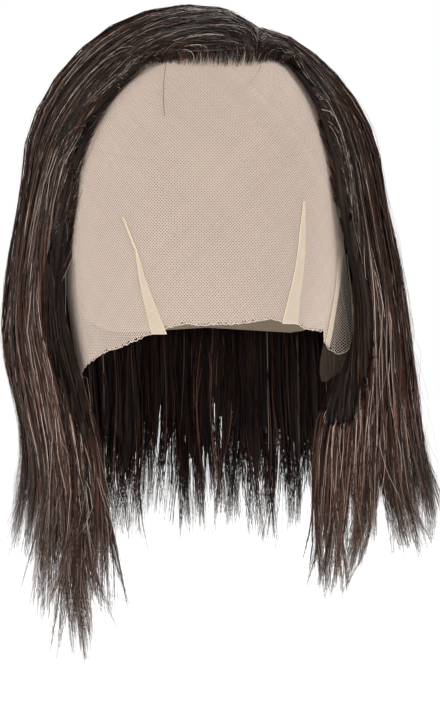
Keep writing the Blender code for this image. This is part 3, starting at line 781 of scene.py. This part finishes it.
def loose_hair(material):
    """Flyaway strands that stand off the surface."""
    count = LOOSE_STRANDS
    u = RANDOM.uniform(0.0, LAST_GUIDE, count)
    depth = RANDOM.uniform(0.0, LOOSE_DEPTH, count)
    start = RANDOM.uniform(0.0, 0.55, count)
    points, outward = strand_paths(u, start, LOOSE_STEPS, depth, spread=0.2, frizz=3.0)
    widths = taper(count, LOOSE_STEPS, STRAND_WIDTH * 0.62)
    # Every flyaway gets painted backlight, and four times the share of silver strands, grey hair
    # that also serves as painted highlights.
    tones = strand_tones(u, LOOSE_STEPS, silver_highlight=4.0, painted_backlight=np.full(count, 0.8))
    add_strands("loose", points, outward, widths, tones, hair_side(u), material)


def closed_sheet(outer, inner):
    """Closed wall between two grids of one shape."""
    rows, columns, _ = outer.shape
    verts = np.concatenate([outer.reshape(-1, 3), inner.reshape(-1, 3)])
    index = np.arange(rows * columns).reshape(rows, columns)
    far = index + rows * columns
    a, b, c, d = index[:-1, :-1], index[1:, :-1], index[1:, 1:], index[:-1, 1:]
    front = np.stack([a, b, c, d], axis=-1).reshape(-1, 4)
    back = np.stack([a, d, c, b], axis=-1).reshape(-1, 4) + rows * columns
    rims = []
    for near, away in ((index[0], far[0]), (far[-1], index[-1]),
                       (far[:, 0], index[:, 0]), (index[:, -1], far[:, -1])):
        rims.append(np.stack([near[:-1], near[1:], away[1:], away[:-1]], axis=-1))
    return verts, np.concatenate([front, back] + rims)


def hair_shells(material):
    """Dark underlayer of each hair solid, closed, with grooves between the locks: the hair's own
    dark brown, darkened further as painted shade between and under the strands.
    """
    for number, node in enumerate(HAIR_NODES):
        first, last = HAIR_ENDS[number], HAIR_ENDS[number + 1]
        columns = int((last - first) * SHELL_COLUMNS)
        share = np.linspace(0, 1, columns)[None, :] + np.zeros((SHELL_ROWS, 1))
        down = np.linspace(0, 1, SHELL_ROWS)[:, None]
        back_off = 0.10 + 0.36 * (1 - np.clip((down * 0.8 - 0.15) / 0.3, 0, 1))
        low = first + (back_off if number == 0 else 0 * back_off)
        high = last - (back_off if number == 2 else 0 * back_off)
        u = low + (high - low) * share
        lock = lock_of(u[-1])
        half = (LOCK_BOUNDS[lock + 1] - LOCK_BOUNDS[lock]) / 2
        point_in = 1 - np.abs(u[-1] - LOCK_CENTRES[lock]) / half
        end = LOCKS[lock, 1] + (LOCKS[lock, 2] - 0.10 - LOCKS[lock, 1]) * np.clip(point_in, 0, 1)
        end = end - RANDOM.uniform(0.0, 0.10, columns)
        v = down * end[None, :]
        _, outward = hair_axes(u, v)
        edge = np.clip((np.minimum(u, LAST_GUIDE - u) - 0.05) * 2.2, 0, 1)
        lift = ridge_at(u, v) - SHELL_DROP - SHELL_EDGE_DROP * (1 - edge)
        outer = hair_surface(u, v) + outward * lift[..., None]
        thick = 0.8 + 4.2 * edge * np.clip(v * 3, 0.4, 1)
        inner = outer - outward * thick[..., None]
        verts, faces = closed_sheet(outer, inner)
        flow = np.stack([u, v, 0 * u], axis=-1).reshape(-1, 3)
        item = mesh_piece(f"under_{node}", verts, faces, material, np.concatenate([flow, flow]))
        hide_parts(node)


# Radius that turns an azimuth into an arc length on the lace
ARC = 80.0
DART_KNEE = float(measure_of(np.array(DART_TIP_LEVEL)))
CUT_MEASURES = measure_of(LACE_OUTLINE[:, 2])


def lace_place(azimuth, measure):
    """Share up from the cut edge to the dart tips, azimuth at the cut edge, cut and lift there."""
    base = azimuth.copy()
    for _ in range(4):
        cut = np.interp(base, LACE_OUTLINE[:, 0], CUT_MEASURES)
        t = np.clip((cut - measure) / (cut - DART_KNEE), 0, 1)
        middle = np.interp(base, LACE_OUTLINE[:, 0], LACE_OUTLINE[:, 1])
        base = azimuth - (middle - base) * t
    lift = np.interp(base, LACE_OUTLINE[:, 0], LACE_OUTLINE[:, 3])
    loose = np.where(np.abs(base) > 60, lift * (1 - t) ** 1.3, lift)
    return t, base, cut, loose


def on_lace(s, w, extra):
    """Points of the lace and its outward directions, at arc s and length w down from the crown."""
    azimuth = np.degrees(s / ARC)
    measure = w / CROWN_HEIGHT
    lift = lace_place(azimuth, measure)[3] + LACE_LIFT + extra
    point = head_point(azimuth, level_of(measure), lift)
    return point, head_point(azimuth, level_of(measure), lift + 1.0) - point


def in_lace(s, w):
    """Whether places lie between the cap's edge and the cut edge."""
    azimuth = np.degrees(s / ARC)
    measure = w / CROWN_HEIGHT
    _, base, cut, _ = lace_place(azimuth, measure)
    top = measure_of(np.interp(np.abs(azimuth), CAP_EDGE[:, 0], CAP_EDGE[:, 1]))
    rough = 0.004 * np.sin(s * 1.3) + 0.005 * np.sin(s * 4.7 + 1) + 0.004 * np.sin(s * 11.0)
    inside = (measure < cut + rough) & (measure > top + 0.004)
    return inside & (base > LACE_OUTLINE[0, 0]) & (base < LACE_OUTLINE[-1, 0])


def in_dart(table):
    table = np.array(sorted(table))

    def inside(s, w):
        azimuth = np.degrees(s / ARC)
        z = level_of(w / CROWN_HEIGHT)
        low = np.interp(z, table[:, 0], table[:, 1])
        high = np.interp(z, table[:, 0], table[:, 2])
        return (azimuth > low) & (azimuth < high) & (z > table[0, 0]) & (z < table[-1, 0])
    return inside


def in_margin(sides):
    def inside(s, w):
        azimuth = np.degrees(s / ARC)
        _, base, _, _ = lace_place(azimuth, w / CROWN_HEIGHT)
        low = level_of(w / CROWN_HEIGHT) < MARGIN_TOP
        return in_lace(s, w) & (base > sides[0]) & (base < sides[1]) & low
    return inside


def net_runs(inside, reach, pitch, fine):
    """Ends of diagonal threads in two directions, cut where they leave the outline."""
    (low_s, high_s), (low_w, high_w) = reach
    gap = pitch * math.sqrt(2)
    w = np.arange(low_w, high_w, fine / math.sqrt(2))
    runs = []
    for slope in (1.0, -1.0):
        for offset in np.arange(low_s - (high_w - low_w), high_s + (high_w - low_w), gap):
            s = offset + slope * (w - low_w)
            keep = inside(s, w)
            edges = np.flatnonzero(np.diff(np.concatenate([[0], keep.astype(int), [0]])))
            for first, last in zip(edges[::2], edges[1::2] - 1):
                if last > first:
                    runs.append((s[first], w[first], s[last], w[last]))
    return runs


def thread_lines(runs, step):
    """Runs as rows of points, grouped by their number of points."""
    groups = {}
    for s0, w0, s1, w1 in runs:
        count = 2 + int(math.hypot(s1 - s0, w1 - w0) / step)
        row = (np.linspace(s0, s1, count), np.linspace(w0, w1, count))
        groups.setdefault(count, []).append(row)
    return [tuple(np.stack(sides) for sides in zip(*rows)) for rows in groups.values()]


def thread_width(s, w):
    """Threads thin out where the margins stand off the head."""
    _, base, _, _ = lace_place(np.degrees(s / ARC), w / CROWN_HEIGHT)
    low = np.clip((-118.0 - level_of(w / CROWN_HEIGHT)) / 14.0, 0, 1)
    left = np.clip((base - 66.5) / 2.0, 0, 1)
    right = np.clip((-71.0 - base) / 5.0, 0, 1)
    return NET_THREAD * (1 - low * (0.62 * left + 0.35 * right))


class Threads:
    """Collects threads of one net as arrays."""

    def __init__(self):
        self.verts = []
        self.faces = []
        self.tones = []
        self.count = 0

    def add(self, points, up, widths, tone, spread=0.025):
        verts, faces = prisms(points, widths, up)
        own = RANDOM.normal(1.0, spread, (len(points), 1, 1)) * np.ones((1, points.shape[1] * 3, 1))
        self.verts.append(verts)
        self.faces.append(faces + self.count)
        self.tones.append((own * np.array(tone)).reshape(-1, 3))
        self.count += len(verts)

    def net(self, runs, extra, step, tone, width=None):
        for s, w in thread_lines(runs, step):
            points, up = on_lace(s, w, extra)
            widths = thread_width(s, w) if width is None else np.full(s.shape, width)
            self.add(points, up, widths, tone)

    def piece(self, name, material):
        return mesh_piece(name, np.concatenate(self.verts), np.concatenate(self.faces), material,
                          np.concatenate(self.tones), smooth=False)


def margin_line(base, low_share, high_share, count):
    """Line up the lace from one place of the cut edge."""
    t = np.linspace(low_share, high_share, count)
    cut = float(np.interp(base, LACE_OUTLINE[:, 0], CUT_MEASURES))
    middle = float(np.interp(base, LACE_OUTLINE[:, 0], LACE_OUTLINE[:, 1]))
    azimuth = base + (middle - base) * t
    measure = cut + (DART_KNEE - cut) * t
    return np.radians(azimuth)[None, :] * ARC, measure[None, :] * CROWN_HEIGHT


def dart_line(table, side):
    table = np.array(sorted(table))
    z = np.linspace(table[0, 0], table[-1, 0], 14)
    azimuth = np.interp(z, table[:, 0], table[:, side])
    return np.radians(azimuth)[None, :] * ARC, measure_of(z)[None, :] * CROWN_HEIGHT


def cut_line():
    base = np.linspace(LACE_OUTLINE[0, 0], LACE_OUTLINE[-1, 0], 190)
    cut = np.interp(base, LACE_OUTLINE[:, 0], CUT_MEASURES) + RANDOM.normal(0, 0.0035, len(base))
    return np.radians(base)[None, :] * ARC, cut[None, :] * CROWN_HEIGHT


def build_lace(material):
    threads = Threads()
    side = LACE_SIDE * ARC * math.pi / 180
    reach = ((-side, side), LACE_DOWN)
    darts = (RIGHT_DART, RIGHT_DART_TIP, LEFT_DART)
    threads.net(net_runs(in_lace, reach, NET_PITCH, LACE_FINE), 0.0, NET_STEP, LACE_TONE)
    folds = [in_dart(table) for table in darts]
    folds += [in_margin(sides) for sides in (RIGHT_MARGIN, LEFT_STRIP)]
    for inside in folds:
        runs = net_runs(inside, reach, FOLD_PITCH, FOLD_FINE)
        for layer in (1, 2):
            threads.net(runs, FOLD_STEP * layer, FOLD_THREAD_STEP, FOLD_TONE, FOLD_THREAD)
    lines = [margin_line(base, 0.0, high, 24) for base, high in MARGIN_EDGES]
    lines += [dart_line(table, edge) for table in darts for edge in (1, 2)]
    for s, w in lines:
        points, up = on_lace(s, w, EDGE_LIFT)
        threads.add(points, up, np.full(s.shape, EDGE_THREAD), EDGE_TONE)
    s, w = cut_line()
    points, up = on_lace(s, w, CUT_LIFT)
    threads.add(points, up, np.full(s.shape, FOLD_THREAD), FOLD_TONE)
    item = threads.piece("lace_net", material)
    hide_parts("lace_front")


def build_ear_tab(material):
    """Small tab of net below the standing flap, its threads dark brown as painted shade."""
    def inside(s, w):
        azimuth = np.degrees(s / ARC)
        z = level_of(w / CROWN_HEIGHT)
        top = np.interp(azimuth, EAR_TAB[:, 0], EAR_TAB[:, 1])
        cut = np.interp(azimuth, EAR_TAB[:, 0], EAR_TAB[:, 2])
        return (z < top - 0.4) & (z > cut) & (azimuth > EAR_TAB[0, 0]) & (azimuth < EAR_TAB[-1, 0])

    threads = Threads()
    reach = ((62 * ARC * math.pi / 180, 80 * ARC * math.pi / 180), (215.0, 260.0))
    for s, w in thread_lines(net_runs(inside, reach, EAR_PITCH, 0.3), 3.0):
        azimuth = np.degrees(s / ARC)
        lift = np.interp(azimuth, EAR_TAB[:, 0], EAR_TAB[:, 3]) + LACE_LIFT
        points = head_point(azimuth, level_of(w / CROWN_HEIGHT), lift)
        up = head_point(azimuth, level_of(w / CROWN_HEIGHT), lift + 1.0) - points
        threads.add(points, up, np.full(s.shape, EAR_THREAD), EAR_PAINTED_SHADE_TONE)
    item = threads.piece("ear_tab_net", material)
    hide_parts("ear_tab_left")


def stray_hairs(material):
    """Single hairs that lie on the lace below the hairline."""
    rows = []
    tones = []
    for a0, z0, a1, z1, a2, z2, tone in STRAY_HAIRS:
        t = np.linspace(0, 1, STRAY_STEPS)
        azimuth = (1 - t) ** 2 * a0 + 2 * t * (1 - t) * a1 + t**2 * a2
        level = (1 - t) ** 2 * z0 + 2 * t * (1 - t) * z1 + t**2 * z2
        rows.append(head_point(azimuth, level, np.full(STRAY_STEPS, STRAY_LIFT)))
        tones.append(np.full((STRAY_STEPS, 3), tone) * np.array(STRAY_TINT))
    points = np.stack(rows)
    outward = points + np.array([0, 0, CROWN_HEIGHT])
    side = np.zeros(len(points), dtype=int)
    widths = np.full(points.shape[:2], STRAY_WIDTH)
    add_strands("stray", points, outward, widths, np.stack(tones), side, material)


def principled(name, roughness, specular):
    material = bpy.data.materials.new(name)
    material.use_nodes = True
    nodes = material.node_tree.nodes
    shader = nodes["Principled BSDF"]
    shader.inputs["Roughness"].default_value = roughness
    shader.inputs["Specular IOR Level"].default_value = specular
    return material, nodes, material.node_tree.links, shader


def toned_material(name, roughness, specular):
    """Material that takes its colour from the strands or threads."""
    material, nodes, links, shader = principled(name, roughness, specular)
    tone = nodes.new("ShaderNodeAttribute")
    tone.attribute_name = "tone"
    links.new(tone.outputs["Color"], shader.inputs["Base Color"])
    return material


def under_shade_material():
    """Dark streaks that run with the hair: dark hair colour with painted shade of the deep layers.
    """
    material, nodes, links, shader = principled("hair_under_shade", 0.6, 0.2)
    flow = nodes.new("ShaderNodeAttribute")
    flow.attribute_name = "tone"
    stretch = nodes.new("ShaderNodeMapping")
    stretch.inputs["Scale"].default_value = (75.0, 5.0, 1.0)
    noise = nodes.new("ShaderNodeTexNoise")
    noise.inputs["Scale"].default_value = 1.0
    noise.inputs["Detail"].default_value = 3.0
    ramp = nodes.new("ShaderNodeValToRGB")
    # Painted shade: the darkest streaks are deeper than any strand's own colour.
    ramp.color_ramp.elements[0].position = 0.40
    ramp.color_ramp.elements[0].color = (0.003, 0.002, 0.0017, 1)
    ramp.color_ramp.elements[1].position = 0.68
    ramp.color_ramp.elements[1].color = (0.030, 0.016, 0.011, 1)
    links.new(flow.outputs["Vector"], stretch.inputs["Vector"])
    links.new(stretch.outputs["Vector"], noise.inputs["Vector"])
    links.new(noise.outputs["Fac"], ramp.inputs["Fac"])
    links.new(ramp.outputs["Color"], shader.inputs["Base Color"])
    return material


def cloth_material(name, dark, light, scale):
    material, nodes, links, shader = principled(name, 0.9, 0.2)
    noise = nodes.new("ShaderNodeTexNoise")
    noise.inputs["Scale"].default_value = scale
    noise.inputs["Detail"].default_value = 4.0
    ramp = nodes.new("ShaderNodeValToRGB")
    ramp.color_ramp.elements[0].position = 0.35
    ramp.color_ramp.elements[0].color = (*dark, 1)
    ramp.color_ramp.elements[1].position = 0.65
    ramp.color_ramp.elements[1].color = (*light, 1)
    bump = nodes.new("ShaderNodeBump")
    bump.inputs["Strength"].default_value = 0.25
    bump.inputs["Distance"].default_value = 0.0004
    links.new(noise.outputs["Fac"], ramp.inputs["Fac"])
    links.new(noise.outputs["Fac"], bump.inputs["Height"])
    links.new(ramp.outputs["Color"], shader.inputs["Base Color"])
    links.new(bump.outputs["Normal"], shader.inputs["Normal"])
    return material


def dress_node(node, material):
    """Material on a solid that stays in the scene."""
    item = bpy.data.objects[node]
    item.data.materials.clear()
    item.data.materials.append(material)


def add_floor():
    mesh = bpy.data.meshes.new("floor")
    size = FLOOR_SIZE
    corners = [(-size, -size), (size, -size), (size, size), (-size, size)]
    mesh.from_pydata([(x, y, FLOOR_LEVEL) for x, y in corners], [], [(0, 1, 2, 3)])
    floor = bpy.data.objects.new("floor", mesh)
    bpy.context.scene.collection.objects.link(floor)
    material, _, _, shader = principled("floor", 0.9, 0.1)
    shader.inputs["Base Color"].default_value = (0.9, 0.9, 0.9, 1)
    shader.inputs["Emission Color"].default_value = (1, 1, 1, 1)
    shader.inputs["Emission Strength"].default_value = FLOOR_GLOW
    mesh.materials.append(material)


def add_world():
    """White behind the wig, and softer light from all round."""
    world = bpy.data.worlds.new("studio")
    bpy.context.scene.world = world
    world.use_nodes = True
    nodes, links = world.node_tree.nodes, world.node_tree.links
    light = nodes["Background"]
    light.inputs["Color"].default_value = (1, 1, 1, 1)
    light.inputs["Strength"].default_value = WORLD_LIGHT
    seen = nodes.new("ShaderNodeBackground")
    seen.inputs["Color"].default_value = (1, 1, 1, 1)
    seen.inputs["Strength"].default_value = 1.0
    path = nodes.new("ShaderNodeLightPath")
    mix = nodes.new("ShaderNodeMixShader")
    links.new(path.outputs["Is Camera Ray"], mix.inputs["Fac"])
    links.new(light.outputs["Background"], mix.inputs[1])
    links.new(seen.outputs["Background"], mix.inputs[2])
    links.new(mix.outputs["Shader"], nodes["World Output"].inputs["Surface"])


def add_light(name, place, size, watts):
    data = bpy.data.lights.new(name, "AREA")
    data.size = size
    data.energy = watts
    item = bpy.data.objects.new(name, data)
    item.location = place
    aim = Vector(LIGHT_AIM) - Vector(place)
    item.rotation_mode = "QUATERNION"
    item.rotation_quaternion = aim.to_track_quat("-Z", "Y")
    bpy.context.scene.collection.objects.link(item)


def add_camera():
    data = bpy.data.cameras.new("camera")
    data.lens = CAMERA_LENS
    data.sensor_width = SENSOR
    camera = bpy.data.objects.new("camera", data)
    camera.location = (CAMERA_X * MM, -CAMERA_BACK * MM, CAMERA_LEVEL * MM)
    camera.rotation_euler = (math.pi / 2, 0, 0)
    bpy.context.scene.collection.objects.link(camera)
    bpy.context.scene.camera = camera


def main():
    add_camera()
    add_floor()
    add_world()
    for light in LIGHTS:
        add_light(*light)
    bpy.context.scene.view_settings.view_transform = "Standard"
    hair = toned_material("hair_strands", 0.34, 0.22)
    hair_shells(under_shade_material())
    outer_hair(hair)
    inner_hair(hair)
    root_hair(hair)
    loose_hair(hair)
    net = toned_material("net_thread", 0.85, 0.2)
    build_lace(net)
    build_ear_tab(net)
    stray_hairs(hair)
    cap = cloth_material("cap_cloth", (0.40, 0.32, 0.25), (0.50, 0.41, 0.32), 1200.0)
    dress_node("cap_crown", cap)
    dress_node("cap_nape", cap)


main()
